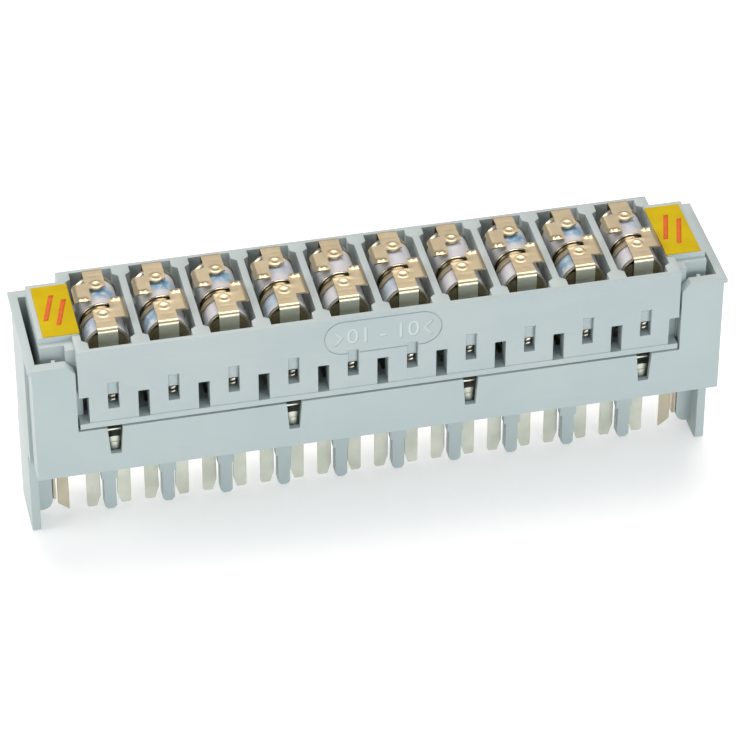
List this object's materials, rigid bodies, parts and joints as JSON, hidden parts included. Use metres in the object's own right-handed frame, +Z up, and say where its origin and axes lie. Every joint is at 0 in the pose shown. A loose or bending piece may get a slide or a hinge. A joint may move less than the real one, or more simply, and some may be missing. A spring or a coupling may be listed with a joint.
{
  "type": "surge arrester magazine for a punch-down disconnection module",
  "caption": "Overvoltage protection magazine: a plastic comb housing holds a row of gas arresters under spring clips and plugs contact tongues into a punch-down disconnection module.",
  "frame": {"origin": "under the middle of the housing, level with the tips of the two end legs", "axes": "+X along the row of pairs, +Y from the front (the side with the oval marking field) to the rear, +Z up towards the arresters"},
  "size_m": [0.1254, 0.024, 0.0471],
  "materials": {
    "housing_plastic": "smooth moulded",
    "magazine_plastic": "smooth moulded",
    "label": "self-adhesive film",
    "tinned_sheet": "tin-plated",
    "bronze_sheet": "bare spring bronze",
    "ceramic": "smooth white",
    "electrode_metal": "plated",
    "passivated_steel": "yellow passivated"
  },
  "bodies": {
    "root": {"housing": "housing_plastic", "magazine": "magazine_plastic", "label_left": "label", "label_right": "label", "earth_rail": "tinned_sheet", "end_contact_left": "bronze_sheet", "end_contact_right": "bronze_sheet", "ceramic_01": "ceramic", "ceramic_02": "ceramic", "ceramic_03": "ceramic", "ceramic_04": "ceramic", "ceramic_05": "ceramic", "ceramic_06": "ceramic", "ceramic_07": "ceramic", "ceramic_08": "ceramic", "ceramic_09": "ceramic", "ceramic_10": "ceramic", "electrodes_01": "electrode_metal", "electrodes_02": "electrode_metal", "electrodes_03": "electrode_metal", "electrodes_04": "electrode_metal", "electrodes_05": "electrode_metal", "electrodes_06": "electrode_metal", "electrodes_07": "electrode_metal", "electrodes_08": "electrode_metal", "electrodes_09": "electrode_metal", "electrodes_10": "electrode_metal", "clip_01": "passivated_steel", "clip_02": "passivated_steel", "clip_03": "passivated_steel", "clip_04": "passivated_steel", "clip_05": "passivated_steel", "clip_06": "passivated_steel", "clip_07": "passivated_steel", "clip_08": "passivated_steel", "clip_09": "passivated_steel", "clip_10": "passivated_steel", "contacts_01": "tinned_sheet", "contacts_02": "tinned_sheet", "contacts_03": "tinned_sheet", "contacts_04": "tinned_sheet", "contacts_05": "tinned_sheet", "contacts_06": "tinned_sheet", "contacts_07": "tinned_sheet", "contacts_08": "tinned_sheet", "contacts_09": "tinned_sheet", "contacts_10": "tinned_sheet"}
  },
  "joints": []
}
